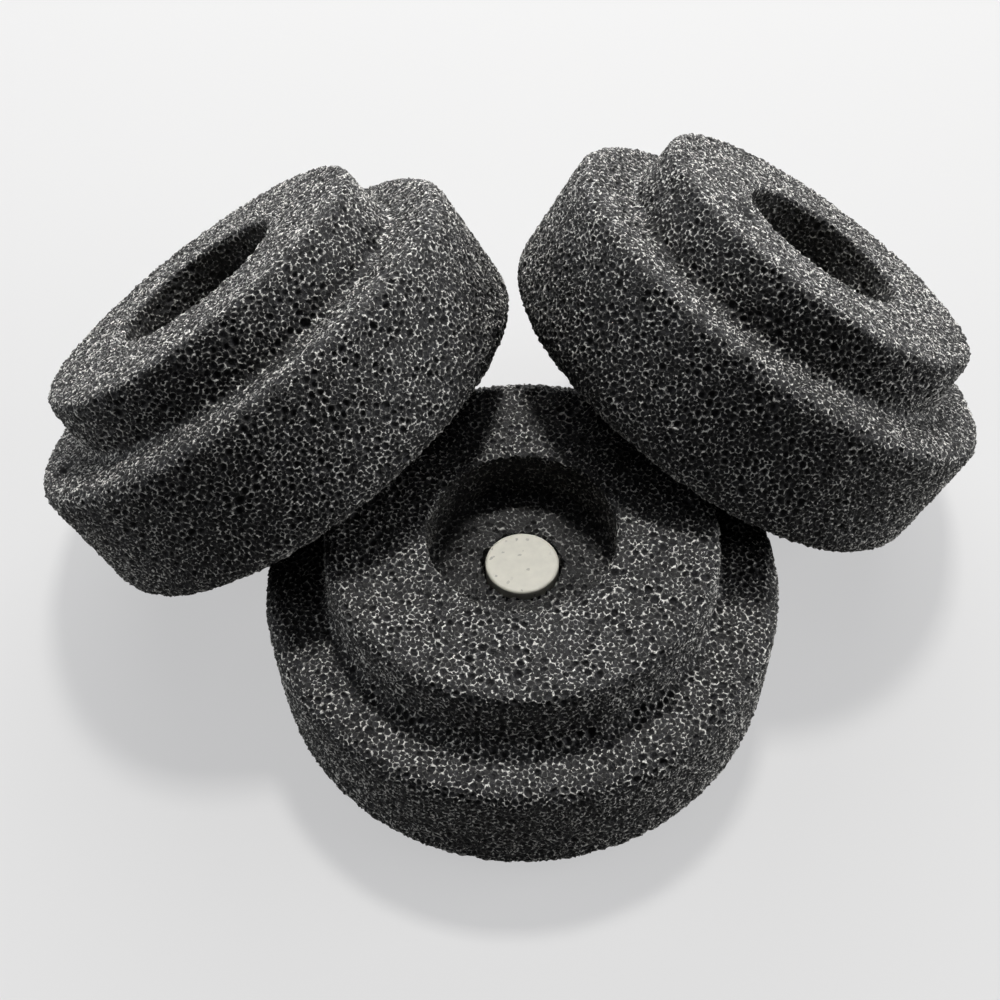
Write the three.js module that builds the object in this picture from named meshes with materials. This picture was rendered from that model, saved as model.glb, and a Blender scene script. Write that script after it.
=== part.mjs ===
// A set of stepped foam filter sponges, each with a small plug in the floor of its bore.
// One lies flat on the table and the other two lean on its boss.
// Units are millimetres, +Z is up and z = 0 is the table.
import * as THREE from "three";

// The flange is the wide lower step of a sponge.
const FLANGE_R = 35;
const FLANGE_H = 20.5;
const BOTTOM_ROUND = 4.2;
const TOP_ROUND = 2.2;

// The boss is the narrower step on top of it.
const BOSS_FOOT_R = 26.6;
const BOSS_TOP_R = 26.1;
const BOSS_H = 8.5;
const BOSS_ROUND = 1.2;
const CORNER_FILLET = 0.9;

// The wide blind bore opens in the boss, and a narrow bore runs on through its floor.
const BORE_R = 12.5;
const BORE_DEPTH = 7.9;
const BORE_LIP = 0.5;
const HOLE_R = 5.3;

// The plug closes the top of the narrow bore.
const PLUG_R = 5;
const PLUG_LENGTH = 9;
const PLUG_PROUD = 0.5;
const PLUG_EDGE = 0.35;

const SEGMENTS = 72;
const HEIGHT = FLANGE_H + BOSS_H;
const CONTACT_GAP = 0.3;

// Tilt from upright, heading of the tilted axis and heading of the place, in degrees.
const LEFT_POSE = { tilt: 37.8, heading: 151.5, place: 139.5 };
const RIGHT_POSE = { tilt: 36.4, heading: 26.3, place: 49 };

// Points on an arc about (cx, cy) from one angle to another, in degrees.
function arc(cx, cy, r, from, to, steps) {
  return Array.from({ length: steps + 1 }, (_, i) => {
    const a = THREE.MathUtils.degToRad(from + ((to - from) * i) / steps);
    return new THREE.Vector2(cx + r * Math.cos(a), cy + r * Math.sin(a));
  });
}

// A profile of radius and height turned about +Z.
function turned(profile) {
  return new THREE.LatheGeometry(profile, SEGMENTS).rotateX(Math.PI / 2);
}

function spongeGeometry() {
  const floor = HEIGHT - BORE_DEPTH;
  const profile = [
    new THREE.Vector2(HOLE_R, 0),
    ...arc(FLANGE_R - BOTTOM_ROUND, BOTTOM_ROUND, BOTTOM_ROUND, -90, 0, 5),
    ...arc(FLANGE_R - TOP_ROUND, FLANGE_H - TOP_ROUND, TOP_ROUND, 0, 90, 3),
    ...arc(BOSS_FOOT_R + CORNER_FILLET, FLANGE_H + CORNER_FILLET, CORNER_FILLET, 270, 180, 2),
    ...arc(BOSS_TOP_R - BOSS_ROUND, HEIGHT - BOSS_ROUND, BOSS_ROUND, 0, 90, 3),
    ...arc(BORE_R + BORE_LIP, HEIGHT - BORE_LIP, BORE_LIP, 90, 180, 2),
    new THREE.Vector2(BORE_R, floor),
    new THREE.Vector2(HOLE_R, floor),
    new THREE.Vector2(HOLE_R, 0),
  ];
  return turned(profile);
}

function plugGeometry() {
  const top = HEIGHT - BORE_DEPTH + PLUG_PROUD;
  const bottom = top - PLUG_LENGTH;
  const profile = [
    new THREE.Vector2(0, bottom),
    new THREE.Vector2(PLUG_R - PLUG_EDGE, bottom),
    new THREE.Vector2(PLUG_R, bottom + PLUG_EDGE),
    ...arc(PLUG_R - PLUG_EDGE, top - PLUG_EDGE, PLUG_EDGE, 0, 90, 3),
    new THREE.Vector2(0, top),
  ];
  return turned(profile);
}

function foamMaterial() {
  return new THREE.MeshStandardMaterial({ color: 0x2c2c2d, roughness: 0.95, metalness: 0 });
}

function plugMaterial() {
  return new THREE.MeshStandardMaterial({ color: 0xd9d6cb, roughness: 0.5, metalness: 0 });
}

// One filter: the foam and its plug, with the axis on the group's own +Z.
function filter(side) {
  const sponge = new THREE.Mesh(spongeGeometry(), foamMaterial());
  sponge.name = `${side}_sponge`;
  const plug = new THREE.Mesh(plugGeometry(), plugMaterial());
  plug.name = `${side}_plug`;
  return new THREE.Group().add(sponge, plug);
}

// Leans a filter so that its rim stands on the table and its underside rests on the flat
// one's boss. The support of a rounded rim in a direction gives both contact distances.
function lean(group, { tilt, heading, place }) {
  const t = THREE.MathUtils.degToRad(tilt);
  const h = THREE.MathUtils.degToRad(heading);
  const p = THREE.MathUtils.degToRad(place);
  const lift = (FLANGE_R - BOTTOM_ROUND) * Math.sin(t) + BOTTOM_ROUND * (1 - Math.cos(t));
  const bossEdge = BOSS_TOP_R - BOSS_ROUND;
  const support = bossEdge * Math.sin(t) + (HEIGHT - BOSS_ROUND) * Math.cos(t) + BOSS_ROUND;
  const reach = (support + CONTACT_GAP - lift * Math.cos(t)) / (Math.sin(t) * Math.cos(p - h));
  group.rotation.set(0, t, h, "ZYX");
  group.position.set(reach * Math.cos(p), reach * Math.sin(p), lift);
  return group;
}

const set = new THREE.Group();
set.add(filter("base"), lean(filter("left"), LEFT_POSE), lean(filter("right"), RIGHT_POSE));

// The origin is the centre of the set's footprint, on the table.
const box = new THREE.Box3().setFromObject(set, true);
const centre = box.getCenter(new THREE.Vector3());
set.position.set(-centre.x, -centre.y, -box.min.z);

export default set;
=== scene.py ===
# Three stepped foam filter sponges: one lies flat and two lean on its boss.
# Each has a small pale plug in the floor of its bore.
import math

import bpy
import numpy as np
from mathutils import Matrix, Vector, geometry


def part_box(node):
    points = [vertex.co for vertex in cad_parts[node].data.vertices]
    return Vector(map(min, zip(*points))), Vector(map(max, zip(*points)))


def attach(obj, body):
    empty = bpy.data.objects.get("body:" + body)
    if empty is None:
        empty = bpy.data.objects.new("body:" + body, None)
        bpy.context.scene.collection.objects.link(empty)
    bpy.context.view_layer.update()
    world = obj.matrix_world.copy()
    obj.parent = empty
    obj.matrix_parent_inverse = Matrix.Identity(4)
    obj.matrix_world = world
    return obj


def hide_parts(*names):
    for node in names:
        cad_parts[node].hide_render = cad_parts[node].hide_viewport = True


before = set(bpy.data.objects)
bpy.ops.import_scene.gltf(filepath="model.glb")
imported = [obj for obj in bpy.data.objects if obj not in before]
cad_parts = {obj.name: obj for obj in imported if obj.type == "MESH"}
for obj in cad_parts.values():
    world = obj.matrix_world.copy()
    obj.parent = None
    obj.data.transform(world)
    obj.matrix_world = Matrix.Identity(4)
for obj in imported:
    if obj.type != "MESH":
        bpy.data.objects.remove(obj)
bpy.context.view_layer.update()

MM = 0.001

# The sponge, in millimetres. The flange is its wide lower step and the boss its upper one.
FLANGE_R = 35.0
FLANGE_H = 20.5
BOTTOM_ROUND = 4.2
TOP_ROUND = 2.2
BOSS_FOOT_R = 26.6
BOSS_TOP_R = 26.1
BOSS_H = 8.5
BOSS_ROUND = 1.2
CORNER_FILLET = 0.9
BORE_R = 12.5
BORE_DEPTH = 7.9
BORE_LIP = 0.5
HOLE_R = 5.3
HEIGHT = FLANGE_H + BOSS_H
CONTACT_GAP = 0.3

# How each filter stands: tilt from upright, heading of its axis and heading of its place.
LEAN = {
    "left": {"tilt": 37.8, "heading": 151.5, "place": 139.5},
    "right": {"tilt": 36.4, "heading": 26.3, "place": 49.0},
}

# How far apart the foam's cells are, in millimetres, where they show and where they don't.
CELL = 0.79
HIDDEN_CELL = 1.25
HIDDEN_HEIGHT = 0.8
HIDDEN_WALL = 0.7
SEEDS = {"base": 11, "left": 23, "right": 37}

# A pit goes down by this much of its cell's radius, and its bottom wanders off centre.
PIT_DEPTH = (0.7, 1.5)
PIT_WANDER = 0.1
# The larger cells have a ring part of the way down their pit.
RINGED_SHARE = 0.2
RING_SHRINK = (0.6, 0.78)
RING_DEPTH = (0.3, 0.5)
RING_FOLLOWS_STRUT = 0.3
# Rings get painted shade at this level in the colour ramp.
RING_SHADE_LEVEL = 0.5
# Struts meet a little below or above the surface, in cells, and a few stand well proud.
STRUT_SINK = (-0.1, 0.36)
# Sunken junctions get painted shade, up to this level in the colour ramp.
STRUT_SHADE_LEVEL = 0.55
PROUD_SHARE = 0.06
PROUD_HEIGHT = 0.2
PROUD_SPREAD = (0.4, 1)

# Painted shade: the foam in the bore is made darker than the rest by this factor, for the shade
# in the recess.
BORE_SHADE = 0.45
BORE_MARGIN = 0.3
BORE_LIP_KEPT = 0.8

# Torn pits a few cells wide: angle round the axis, distance from it, height and width.
TORN_PITS = {
    "base": [],
    "left": [(61.7, 30.4, 20.4, 1.7)],
    "right": [(176.0, 16.8, 29.0, 1.6)],
}
TORN_EDGE = 1.25
# Torn pits get painted shade, up to this level in the colour ramp.
TORN_SHADE_LEVEL = 0.8

# The outline is cut into short even steps, and its sharp corners are softened.
OUTLINE_STEP = 0.1
SOFTEN_ROUNDS = 2

# The area of a hexagonal cell is this much of its spacing squared.
HEXAGON_AREA = 0.866


# ---------------------------------------------------------------- foam shape


def arc(cx, cy, r, start, end, steps=12):
    """Points on an arc about (cx, cy), with angles in degrees."""
    angles = np.radians(np.linspace(start, end, steps))
    return np.column_stack((cx + r * np.cos(angles), cy + r * np.sin(angles)))


def sponge_profile():
    """The closed outline of half a sponge as radius and height, from the foot of the hole."""
    floor = HEIGHT - BORE_DEPTH
    corners = [
        [(HOLE_R, 0)],
        arc(FLANGE_R - BOTTOM_ROUND, BOTTOM_ROUND, BOTTOM_ROUND, -90, 0),
        arc(FLANGE_R - TOP_ROUND, FLANGE_H - TOP_ROUND, TOP_ROUND, 0, 90),
        arc(BOSS_FOOT_R + CORNER_FILLET, FLANGE_H + CORNER_FILLET, CORNER_FILLET, 270, 180),
        arc(BOSS_TOP_R - BOSS_ROUND, HEIGHT - BOSS_ROUND, BOSS_ROUND, 0, 90),
        arc(BORE_R + BORE_LIP, HEIGHT - BORE_LIP, BORE_LIP, 90, 180),
        [(BORE_R, floor), (HOLE_R, floor), (HOLE_R, 0)],
    ]
    points = np.vstack(corners)
    along = np.r_[0, np.cumsum(np.hypot(*np.diff(points, axis=0).T))]
    count = int(along[-1] / OUTLINE_STEP)
    even = np.arange(count) * along[-1] / count
    line = np.column_stack([np.interp(even, along, points[:, i]) for i in (0, 1)])
    for _ in range(SOFTEN_ROUNDS):  # cut foam has no sharp corners
        line = sum(np.roll(line, k, 0) for k in (-2, -1, 0, 1, 2)) / 5
    return line


class Outline:
    """The turned surface, flattened so that small circles on it stay circles."""

    def __init__(self):
        self.line = sponge_profile()
        ahead = np.roll(self.line, -1, 0)
        self.step = np.hypot(*(ahead - self.line).T)
        middle = (ahead + self.line)[:, 0] / 2
        self.v = np.r_[0, np.cumsum(self.step / middle)]
        self.turn = self.v[-1]
        tangent = np.roll(self.line, -2, 0) - np.roll(self.line, 2, 0)
        tangent /= np.hypot(*tangent.T)[:, None]
        self.normal = np.column_stack((tangent[:, 1], -tangent[:, 0]))
        r, z = self.line.T
        hidden = (z < HIDDEN_HEIGHT) | (r < HOLE_R + HIDDEN_WALL)
        self.cell = np.where(hidden, HIDDEN_CELL, CELL)
        self.fine = ~hidden

    def at(self, v, values):
        """Values along the outline, read at flat heights v."""
        closed = np.r_[values, values[:1]]
        return np.interp(v % self.turn, self.v, closed)


def scattered(outline, rng):
    """Random cell centres on the flattened surface, closer where the cells are finer."""
    weight = outline.step * outline.line[:, 0] / outline.cell**2
    total = np.r_[0, np.cumsum(weight)]
    count = int(2 * math.pi * total[-1] / HEXAGON_AREA)
    level = (np.arange(count) + rng.uniform(0, 1, count)) / count * total[-1]
    v = np.interp(level, total, outline.v)
    golden = math.pi * (3 - math.sqrt(5))
    theta = (np.arange(count) * golden + rng.uniform(0, 0.5, count)) % (2 * math.pi)
    return np.column_stack((theta, v))


def wrapped(centres, turn, margin=0.8):
    """The centres with copies of them past each edge of the flattened surface."""
    size = np.array((2 * math.pi, turn))
    points, source = [centres], [np.arange(len(centres))]
    for du in (-1, 0, 1):
        for dv in (-1, 0, 1):
            if du or dv:
                moved = centres + size * (du, dv)
                near = ((moved > -margin) & (moved < size + margin)).all(1)
                points.append(moved[near])
                source.append(np.nonzero(near)[0])
    return np.vstack(points), np.concatenate(source)


def triangles(centres, turn):
    """The Delaunay triangles of the centres, each once, and the points that they use."""
    points, source = wrapped(centres, turn)
    faces = geometry.delaunay_2d_cdt([Vector(p) for p in points], [], [], 0, 1e-9)[2]
    faces = np.array([f for f in faces if len(f) == 3])
    middle = points[faces].mean(1)
    inside = (middle >= 0).all(1) & (middle < (2 * math.pi, turn)).all(1)
    return points, source, faces[inside], middle[inside]


def relaxed(centres, turn, rounds=3, pull=0.75):
    """Moves each centre towards the middle of its triangles, for cells of a like size."""
    for _ in range(rounds):
        points, source, faces, middle = triangles(centres, turn)
        offset = np.zeros_like(centres)
        share = np.zeros(len(centres))
        for corner in range(3):
            used = faces[:, corner]
            np.add.at(offset, source[used], middle - points[used])
            np.add.at(share, source[used], 1)
        centres = centres + pull * offset / share[:, None]
        centres %= (2 * math.pi, turn)
    return centres


def open_cells(outline, rng, pits):
    """Points, faces and attributes of a skin of open cells over the sponge's surface.

    Struts run between the junctions of three cells. Each cell is a pit below its struts,
    and the larger ones have a ring part of the way down."""
    centres = relaxed(scattered(outline, rng), outline.turn)
    points, source, faces, middle = triangles(centres, outline.turn)
    count, joins = len(centres), len(faces)
    if joins != 2 * count:
        raise RuntimeError(f"{joins} strut junctions for {count} cells")

    # Every corner of every cell, in order round the cell.
    cell = source[faces].ravel()
    join = np.repeat(np.arange(joins), 3)
    offset = (middle[:, None] - points[faces]).reshape(-1, 2)
    order = np.lexsort((np.arctan2(offset[:, 1], offset[:, 0]), cell))
    cell, join, offset = cell[order], join[order], offset[order]
    first = np.searchsorted(cell, np.arange(count))
    last = np.r_[first[1:], len(cell)] - 1
    following = np.arange(len(cell)) + 1
    following[last] = first
    before = np.empty_like(following)
    before[following] = np.arange(len(cell))

    radius = outline.at(centres[:, 1], outline.line[:, 0])
    width = np.add.reduceat(np.hypot(*offset.T), first) / (last - first + 1) * radius
    fine = outline.at(centres[:, 1], outline.fine.astype(float)) > 0.5
    ringed = fine & (width > np.quantile(width[fine], 1 - RINGED_SHARE))
    depth = width * rng.uniform(*PIT_DEPTH, count)
    shrink = rng.uniform(*RING_SHRINK, count)
    wander = rng.normal(0, PIT_WANDER, (count, 2))

    rounded = 0.5 * offset + 0.25 * (offset[following] + offset[before])
    ring_flat = centres[cell] + rounded * shrink[cell, None]
    floor_flat = centres + wander * (width / radius)[:, None]

    join_sink = rng.uniform(*STRUT_SINK, joins) * CELL
    proud = rng.uniform(0, 1, joins) < PROUD_SHARE
    proud_sink = -PROUD_HEIGHT * CELL * rng.uniform(*PROUD_SPREAD, joins)
    join_sink = np.where(proud, proud_sink, join_sink)
    ring_sink = depth[cell] * rng.uniform(*RING_DEPTH, len(cell))
    ring_sink = ring_sink + RING_FOLLOWS_STRUT * join_sink[join]

    keep_ring = ringed[cell]
    ring_number = np.cumsum(keep_ring) - 1 + joins
    rings = int(keep_ring.sum())
    floor_number = joins + rings + np.arange(count)

    flat = np.vstack((middle, ring_flat[keep_ring], floor_flat))
    sink = np.r_[join_sink, ring_sink[keep_ring], depth]
    # Each point's level in the colour ramp: the deeper it sits, the more painted shade it gets.
    join_shade_level = STRUT_SHADE_LEVEL * np.clip(join_sink / CELL, 0, 1)
    level = np.r_[join_shade_level, np.full(rings, RING_SHADE_LEVEL), np.ones(count)]
    tone = np.r_[rng.uniform(0, 1, joins), rng.uniform(0, 1, rings), rng.uniform(0, 1, count)]

    r, z = (outline.at(flat[:, 1], outline.line[:, i]) for i in (0, 1))
    for angle, distance, height, reach in pits:
        turn = flat[:, 0] - math.radians(angle)
        gap = np.sqrt(r**2 + distance**2 - 2 * r * distance * np.cos(turn) + (z - height) ** 2)
        torn = np.clip(TORN_EDGE - gap / reach, 0, 1)
        sink = sink + reach * torn
        # Torn pits are painted darker, as shade in the tear.
        level = np.maximum(level, TORN_SHADE_LEVEL * torn)
    # Painted shade in the bore, carried as an attribute.
    in_bore = (r < BORE_R + BORE_MARGIN) & (z < HEIGHT - BORE_LIP_KEPT)
    painted_bore_shade = np.where(in_bore, BORE_SHADE, 1.0)
    nr, nz = (outline.at(flat[:, 1], outline.normal[:, i]) for i in (0, 1))
    r, z = r - nr * sink, np.maximum(z - nz * sink, 0)
    where = np.column_stack((r * np.cos(flat[:, 0]), r * np.sin(flat[:, 0]), z))

    a, b = join, join[following]
    p, q = ring_number, ring_number[following]
    f = floor_number[cell]
    quads = np.column_stack((a, b, q, p))[keep_ring]
    tips = np.column_stack((p, q, f))[keep_ring]
    cones = np.column_stack((a, b, f))[~keep_ring]
    return where, (quads, np.vstack((tips, cones))), {
        "pore_shade_level": level,
        "strut_tone": tone,
        "painted_bore_shade": painted_bore_shade,
    }


def mesh_from(name, where, quads, tris, attributes):
    """A smooth mesh from arrays of points, four-cornered and three-cornered faces."""
    mesh = bpy.data.meshes.new(name)
    mesh.vertices.add(len(where))
    mesh.vertices.foreach_set("co", where.astype(np.float32).ravel())
    corners = np.r_[quads.ravel(), tris.ravel()].astype(np.int32)
    starts = np.r_[np.arange(len(quads)) * 4, len(quads) * 4 + np.arange(len(tris)) * 3]
    mesh.loops.add(len(corners))
    mesh.loops.foreach_set("vertex_index", corners)
    mesh.polygons.add(len(starts))
    mesh.polygons.foreach_set("loop_start", starts.astype(np.int32))
    mesh.update(calc_edges=True)
    mesh.polygons.foreach_set("use_smooth", np.ones(len(starts), bool))
    for key, values in attributes.items():
        mesh.attributes.new(key, "FLOAT", "POINT").data.foreach_set(
            "value", values.astype(np.float32)
        )
    mesh.validate()
    return mesh


# ---------------------------------------------------------------- placing


def lean_matrix(tilt, heading, place):
    """Where a leaning filter stands, from the flat one's centre, in metres."""
    t, h, p = (math.radians(a) for a in (tilt, heading, place))
    lift = (FLANGE_R - BOTTOM_ROUND) * math.sin(t) + BOTTOM_ROUND * (1 - math.cos(t))
    edge = BOSS_TOP_R - BOSS_ROUND
    support = edge * math.sin(t) + (HEIGHT - BOSS_ROUND) * math.cos(t) + BOSS_ROUND
    reach = (support + CONTACT_GAP - lift * math.cos(t)) / (math.sin(t) * math.cos(p - h))
    spot = Vector((reach * math.cos(p), reach * math.sin(p), lift)) * MM
    return Matrix.Translation(spot) @ Matrix.Rotation(h, 4, "Z") @ Matrix.Rotation(t, 4, "Y")


base_low, base_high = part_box("base_sponge")
base_centre = Vector(((base_low.x + base_high.x) / 2, (base_low.y + base_high.y) / 2, 0))

placed = {"base": Matrix.Translation(base_centre)}
for side, pose in LEAN.items():
    placed[side] = Matrix.Translation(base_centre) @ lean_matrix(**pose)


# ---------------------------------------------------------------- shader parts


def new_group(name, inputs, outputs):
    """An empty shader node group with float, colour or vector sockets."""
    group = bpy.data.node_groups.new(name, "ShaderNodeTree")
    for label, kind, value in inputs:
        socket = group.interface.new_socket(label, in_out="INPUT", socket_type=kind)
        if value is not None:
            socket.default_value = value
    for label, kind in outputs:
        group.interface.new_socket(label, in_out="OUTPUT", socket_type=kind)
    return group, group.nodes.new("NodeGroupInput"), group.nodes.new("NodeGroupOutput")


def node(tree, kind, settings=None, values=None, **links):
    """A node with its settings, its unlinked values and its links, by socket name."""
    made = tree.nodes.new("ShaderNode" + kind)
    for key, value in (settings or {}).items():
        setattr(made, key, value)
    for key, value in (values or {}).items():
        made.inputs[key].default_value = value
    for key, source in links.items():
        slot = int(key[1:]) if key[0] == "i" and key[1:].isdigit() else key.replace("_", " ")
        tree.links.new(source, made.inputs[slot])
    return made


def maths(tree, operation, a, b, clamp=False):
    """A maths node on two sockets or numbers."""
    made = tree.nodes.new("ShaderNodeMath")
    made.operation, made.use_clamp = operation, clamp
    for slot, value in enumerate((a, b)):
        if isinstance(value, (int, float)):
            made.inputs[slot].default_value = value
        else:
            tree.links.new(value, made.inputs[slot])
    return made.outputs[0]


def ramp(tree, fac, stops):
    """A colour ramp from (position, colour) pairs."""
    made = tree.nodes.new("ShaderNodeValToRGB")
    tree.links.new(fac, made.inputs[0])
    elements = made.color_ramp.elements
    while len(elements) < len(stops):
        elements.new(0.5)
    for element, (position, colour) in zip(elements, stops):
        element.position, element.color = position, (*colour, 1)
    return made.outputs[0]


def eased(tree, value, start, end, low=0.0, high=1.0, smooth=True):
    """A value taken from start..end to low..high, held at the ends and smooth by default."""
    return node(
        tree,
        "MapRange",
        {"interpolation_type": "SMOOTHSTEP" if smooth else "LINEAR"},
        {"From Min": start, "From Max": end, "To Min": low, "To Max": high},
        Value=value,
    ).outputs[0]


def scaled(tree, colour, factor):
    """A colour made lighter or darker by a factor that changes over the surface."""
    made = node(tree, "VectorMath", {"operation": "SCALE"}, i0=colour, Scale=factor)
    return made.outputs[0]


def fine_struts_group():
    """A fine net of struts, as lines between small cells, with its height."""
    group, given, out = new_group(
        "fine struts",
        [
            ("Vector", "NodeSocketVector", None),
            ("Cells per Metre", "NodeSocketFloat", 1000.0),
            ("Strut Width", "NodeSocketFloat", 0.1),
        ],
        [("Strut", "NodeSocketFloat"), ("Tone", "NodeSocketFloat")],
    )
    net = node(
        group,
        "TexVoronoi",
        {"feature": "DISTANCE_TO_EDGE"},
        Vector=given.outputs["Vector"],
        Scale=given.outputs["Cells per Metre"],
    )
    solid = node(
        group,
        "MapRange",
        {"interpolation_type": "SMOOTHSTEP"},
        {"From Min": 0.0, "To Min": 1.0, "To Max": 0.0},
        Value=net.outputs["Distance"],
        From_Max=given.outputs["Strut Width"],
    )
    speck = node(
        group,
        "TexVoronoi",
        {"feature": "F1"},
        Vector=given.outputs["Vector"],
        Scale=given.outputs["Cells per Metre"],
    )
    single = node(group, "SeparateColor", Color=speck.outputs["Color"])
    group.links.new(solid.outputs[0], out.inputs["Strut"])
    group.links.new(single.outputs[0], out.inputs["Tone"])
    return group


def mottle_group():
    """Slow and fine changes of tone, for foam and plug alike."""
    group, given, out = new_group(
        "mottle",
        [
            ("Vector", "NodeSocketVector", None),
            ("Patches per Metre", "NodeSocketFloat", 60.0),
            ("Low", "NodeSocketFloat", 0.8),
            ("High", "NodeSocketFloat", 1.15),
        ],
        [("Factor", "NodeSocketFloat")],
    )
    cloud = node(
        group,
        "TexNoise",
        None,
        {"Detail": 4.0, "Roughness": 0.55},
        Vector=given.outputs["Vector"],
        Scale=given.outputs["Patches per Metre"],
    )
    level = node(
        group,
        "MapRange",
        None,
        {"From Min": 0.3, "From Max": 0.7},
        Value=cloud.outputs[0],
        To_Min=given.outputs["Low"],
        To_Max=given.outputs["High"],
    )
    group.links.new(level.outputs[0], out.inputs["Factor"])
    return group


def placed_group(tree, group, values=None, **links):
    """A node group set into a material, with its own values."""
    made = tree.nodes.new("ShaderNodeGroup")
    made.node_tree = group
    for key, value in (values or {}).items():
        made.inputs[key].default_value = value
    for key, source in links.items():
        tree.links.new(source, made.inputs[key.replace("_", " ")])
    return made


FINE_STRUTS = fine_struts_group()
MOTTLE = mottle_group()


def new_material(name):
    """A material with an empty tree, its shader and its output."""
    material = bpy.data.materials.new(name)
    material.use_nodes = True
    tree = material.node_tree
    tree.nodes.clear()
    shader = tree.nodes.new("ShaderNodeBsdfPrincipled")
    out = tree.nodes.new("ShaderNodeOutputMaterial")
    tree.links.new(shader.outputs[0], out.inputs[0])
    return material, tree, shader


# The foam's colour from the tops of its struts down to the bottoms of its pores; the darkening
# down into the pores is painted shade.
FOAM_SHADED_BY_DEPTH = [
    (0.0, (0.25, 0.247, 0.235)),
    (0.06, (0.1, 0.099, 0.096)),
    (0.16, (0.024, 0.024, 0.0255)),
    (0.34, (0.011, 0.011, 0.0135)),
    (1.0, (0.006, 0.006, 0.008)),
]
STRUT_SPREAD = (0.1, 2.5)
FINE_STRUT_LIFT = 0.22
# Painted glints: near-white colour put on the strut tops for light glancing off them.
PAINTED_GLINT_COLOUR = (0.92, 0.91, 0.87, 1)
PAINTED_GLINT_SHARE = 0.9
PAINTED_GLINT_GRIT = (0.74, 0.9)
PAINTED_GLINT_JUNCTIONS = (0.76, 0.94)


def foam_material():
    """Charcoal open-cell foam: pale strut tops, painted glints, and pores painted black with
    shade between them.
    """
    material, tree, shader = new_material("charcoal open-cell foam")
    place = node(tree, "TexCoord").outputs["Object"]
    depth = node(tree, "Attribute", {"attribute_name": "pore_shade_level"}).outputs["Fac"]
    tone = node(tree, "Attribute", {"attribute_name": "strut_tone"}).outputs["Fac"]
    shade = node(tree, "Attribute", {"attribute_name": "painted_bore_shade"}).outputs["Fac"]

    fine = placed_group(
        tree, FINE_STRUTS, {"Cells per Metre": 1500.0, "Strut Width": 0.16}, Vector=place
    )
    grit = placed_group(
        tree, FINE_STRUTS, {"Cells per Metre": 3200.0, "Strut Width": 0.2}, Vector=place
    )
    patches = placed_group(
        tree,
        MOTTLE,
        {"Patches per Metre": 90.0, "Low": 0.78, "High": 1.2},
        Vector=place,
    )

    # How far a point is up its strut, with the fine net breaking the pore walls.
    lifted = maths(tree, "MULTIPLY", fine.outputs["Strut"], FINE_STRUT_LIFT)
    level = maths(tree, "SUBTRACT", depth, lifted, clamp=True)
    # Deeper points get painted shade from the colour ramp.
    body = ramp(tree, level, FOAM_SHADED_BY_DEPTH)
    uneven = maths(tree, "MULTIPLY", tone, grit.outputs["Tone"])
    spread = eased(tree, uneven, 0.0, 0.8, *STRUT_SPREAD, smooth=False)
    # The painted shade in the bore darkens the foam there.
    spread = maths(tree, "MULTIPLY", spread, maths(tree, "MULTIPLY", patches.outputs[0], shade))
    toned = scaled(tree, body, spread)

    # Painted glints: near-white colour on the tops of the struts stands in for light glancing
    # off their facets.
    grit_glint = eased(tree, grit.outputs["Tone"], *PAINTED_GLINT_GRIT)
    top = eased(tree, level, 0.0, 0.3, low=1.0, high=0.0)
    junction_glint = eased(tree, tone, *PAINTED_GLINT_JUNCTIONS)
    painted_glint = maths(tree, "MULTIPLY", maths(tree, "MAXIMUM", grit_glint, junction_glint), top)
    # No painted glints in the bore, where the painted shade lies.
    painted_glint = maths(tree, "MULTIPLY", painted_glint, shade)
    # Sockets 0, 6 and 7 of a colour mix are its factor and its two colours.
    colour = node(
        tree,
        "Mix",
        {"data_type": "RGBA"},
        {7: PAINTED_GLINT_COLOUR},
        i0=maths(tree, "MULTIPLY", painted_glint, PAINTED_GLINT_SHARE),
        i6=toned,
    ).outputs[2]
    tree.links.new(colour, shader.inputs["Base Color"])

    rough = eased(tree, painted_glint, 0.0, 1.0, low=0.62, high=0.3, smooth=False)
    tree.links.new(rough, shader.inputs["Roughness"])
    height = maths(tree, "ADD", fine.outputs["Strut"], grit.outputs["Tone"])
    bump = node(
        tree, "Bump", None, {"Strength": 0.5, "Distance": 0.00012}, Height=height
    ).outputs[0]
    tree.links.new(bump, shader.inputs["Normal"])
    shader.inputs["Specular IOR Level"].default_value = 0.45
    return material


CREAM = (0.84, 0.82, 0.72, 1)
SPECK_TONES = (0.975, 0.995)


def plug_material():
    """Cream moulded plastic, faintly mottled, with a few dark specks."""
    material, tree, shader = new_material("cream moulded plastic")
    place = node(tree, "TexCoord").outputs["Object"]
    cloud = placed_group(
        tree,
        MOTTLE,
        {"Patches per Metre": 700.0, "Low": 0.93, "High": 1.04},
        Vector=place,
    )
    specks = placed_group(
        tree, FINE_STRUTS, {"Cells per Metre": 2600.0, "Strut Width": 0.2}, Vector=place
    )
    rare = eased(tree, specks.outputs["Tone"], *SPECK_TONES, low=1.0, high=0.6)
    factor = maths(tree, "MULTIPLY", cloud.outputs[0], rare)
    cream = node(tree, "RGB")
    cream.outputs[0].default_value = CREAM
    toned = scaled(tree, cream.outputs[0], factor)
    tree.links.new(toned, shader.inputs["Base Color"])
    rough = maths(tree, "MULTIPLY", cloud.outputs[0], 0.5)
    tree.links.new(rough, shader.inputs["Roughness"])
    bump = node(
        tree, "Bump", None, {"Strength": 0.2, "Distance": 0.00006}, Height=cloud.outputs[0]
    ).outputs[0]
    tree.links.new(bump, shader.inputs["Normal"])
    return material


# ---------------------------------------------------------------- pieces

FOAM = foam_material()
PLUG = plug_material()
outline = Outline()

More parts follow.
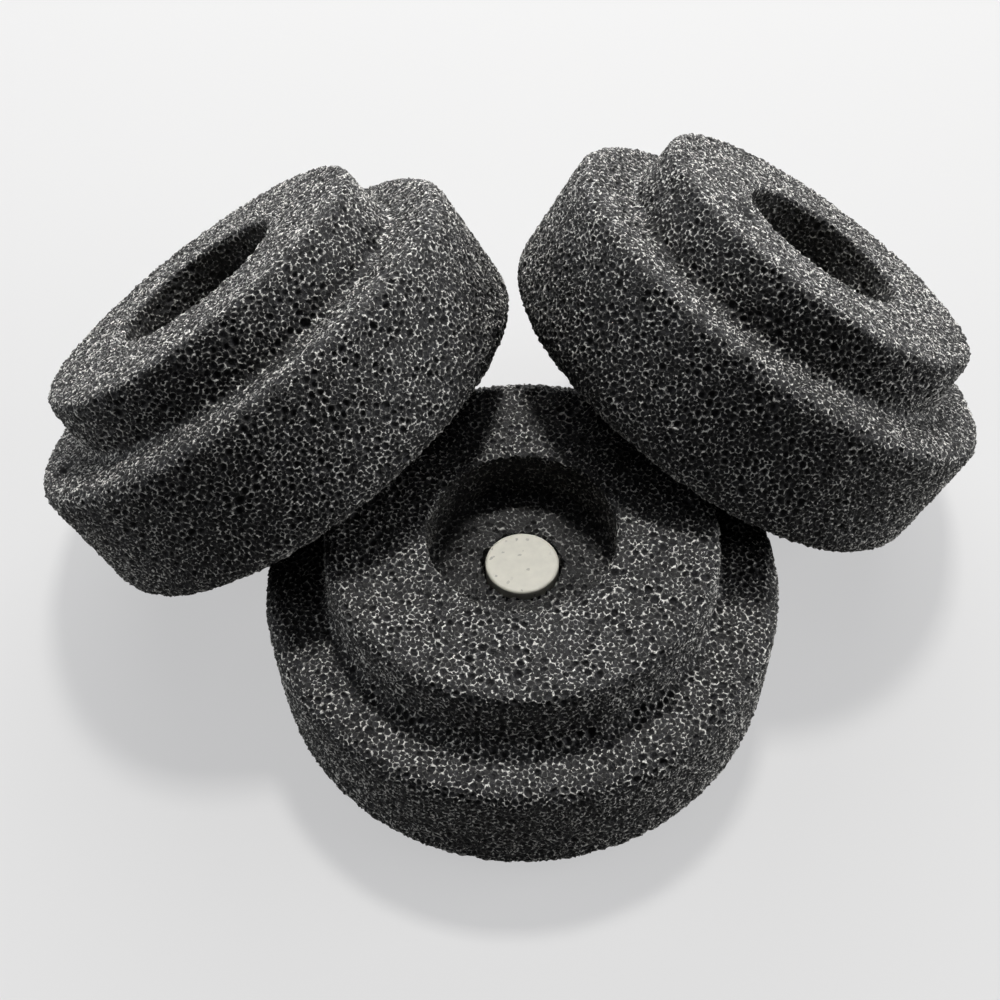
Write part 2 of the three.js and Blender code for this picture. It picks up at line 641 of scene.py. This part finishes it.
for side, matrix in placed.items():
    rng = np.random.default_rng(SEEDS[side])
    where, (quads, tris), attributes = open_cells(outline, rng, TORN_PITS[side])
    turned = np.array(matrix)
    where = where * MM @ turned[:3, :3].T + turned[:3, 3]
    where[:, 2] = np.maximum(where[:, 2], 0)  # flattened where it stands on the table
    mesh = mesh_from(f"{side}_foam", where, quads, tris, attributes)
    mesh.materials.append(FOAM)
    piece = bpy.data.objects.new(f"{side}_foam", mesh)
    bpy.context.collection.objects.link(piece)
    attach(piece, f"{side}_filter")
    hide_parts(f"{side}_sponge")

    plug = bpy.data.objects[f"{side}_plug"]
    plug.data.materials.clear()
    plug.data.materials.append(PLUG)


# ---------------------------------------------------------------- studio


TABLE_GREY = (0.27, 0.27, 0.268, 1)
TABLE_GLOW = 0.5
TABLE_HALF = 3.0
BACKDROP_FILL = 0.045
BACKDROP_SEEN = 0.88

# Name, place, aim, size in metres, power in watts and colour.
LIGHTS = [
    ("ceiling", (0.0, 0.4, 1.2), (0, 0.3, 0), (1.8, 1.2), 2.0, (0.97, 0.985, 1.0)),
    ("key", (0.06, 0.33, 0.85), (0, 0, 0.02), (0.14, 0.1), 5.0, (1.0, 0.985, 0.96)),
    ("back", (0.0, 1.3, 0.6), (0, 0, 0.03), (1.6, 0.5), 18.0, (1.0, 1.0, 1.0)),
    ("right", (1.7, 0.0, 0.5), (0, 0, 0.03), (1.3, 0.7), 18.0, (1.0, 1.0, 1.0)),
    ("left", (-1.7, 0.0, 0.5), (0, 0, 0.03), (1.3, 0.7), 9.5, (0.97, 0.985, 1.0)),
]


def table_top():
    """A plain pale table top."""
    material, tree, shader = new_material("pale table")
    place = node(tree, "TexCoord").outputs["Object"]
    cloud = placed_group(
        tree, MOTTLE, {"Patches per Metre": 3.0, "Low": 0.985, "High": 1.01}, Vector=place
    )
    pale = node(tree, "RGB")
    pale.outputs[0].default_value = TABLE_GREY
    toned = scaled(tree, pale.outputs[0], cloud.outputs[0])
    tree.links.new(toned, shader.inputs["Base Color"])
    shader.inputs["Roughness"].default_value = 0.7
    shader.inputs["Specular IOR Level"].default_value = 0.2
    # A glow that only the camera sees lifts the table's shadows and lights nothing else.
    seen = node(tree, "LightPath").outputs["Is Camera Ray"]
    tree.links.new(maths(tree, "MULTIPLY", seen, TABLE_GLOW), shader.inputs["Emission Strength"])
    shader.inputs["Emission Color"].default_value = (0.99, 0.99, 1.0, 1)
    half = TABLE_HALF
    mesh = bpy.data.meshes.new("table_top")
    corners = [(-half, -half, 0), (half, -half, 0), (half, half, 0), (-half, half, 0)]
    mesh.from_pydata(corners, [], [(0, 1, 2, 3)])
    mesh.materials.append(material)
    table = bpy.data.objects.new("table_top", mesh)
    bpy.context.collection.objects.link(table)


def area_light(name, place, aim, size, power, colour):
    """A soft rectangular light at a place, turned to its aim."""
    lamp = bpy.data.lights.new(name, "AREA")
    lamp.shape = "RECTANGLE"
    lamp.size, lamp.size_y = size
    lamp.energy, lamp.color = power, colour
    made = bpy.data.objects.new(name, lamp)
    made.location = place
    made.rotation_euler = (Vector(aim) - Vector(place)).to_track_quat("-Z", "Y").to_euler()
    bpy.context.collection.objects.link(made)


table_top()
for light in LIGHTS:
    area_light(*light)

world = bpy.data.worlds.new("studio")
world.use_nodes = True
backdrop = world.node_tree.nodes["Background"]
backdrop.inputs["Color"].default_value = (0.93, 0.96, 1.0, 1)
# The backdrop shows pale to the camera and gives only a little fill.
paths = world.node_tree.nodes.new("ShaderNodeLightPath")
strength = world.node_tree.nodes.new("ShaderNodeMapRange")
strength.inputs["To Min"].default_value = BACKDROP_FILL
strength.inputs["To Max"].default_value = BACKDROP_SEEN
world.node_tree.links.new(paths.outputs["Is Camera Ray"], strength.inputs["Value"])
world.node_tree.links.new(strength.outputs[0], backdrop.inputs["Strength"])
bpy.context.scene.world = world
bpy.context.scene.view_settings.view_transform = "Standard"

# ---------------------------------------------------------------- camera

CAMERA_FROM_BASE = Vector((0.0, -0.10835, 0.17469))
CAMERA_TILT = math.radians(37.62)
CAMERA_ROLL = math.radians(-0.67)
lens = bpy.data.cameras.new("camera")
lens.sensor_width = 36.0
lens.lens = 49.8
lens.shift_x = -0.0215
lens.shift_y = 0.006
camera = bpy.data.objects.new("camera", lens)
camera.matrix_world = (
    Matrix.Translation(base_centre + CAMERA_FROM_BASE)
    @ Matrix.Rotation(CAMERA_TILT, 4, "X")
    @ Matrix.Rotation(CAMERA_ROLL, 4, "Z")
)
bpy.context.collection.objects.link(camera)
bpy.context.scene.camera = camera
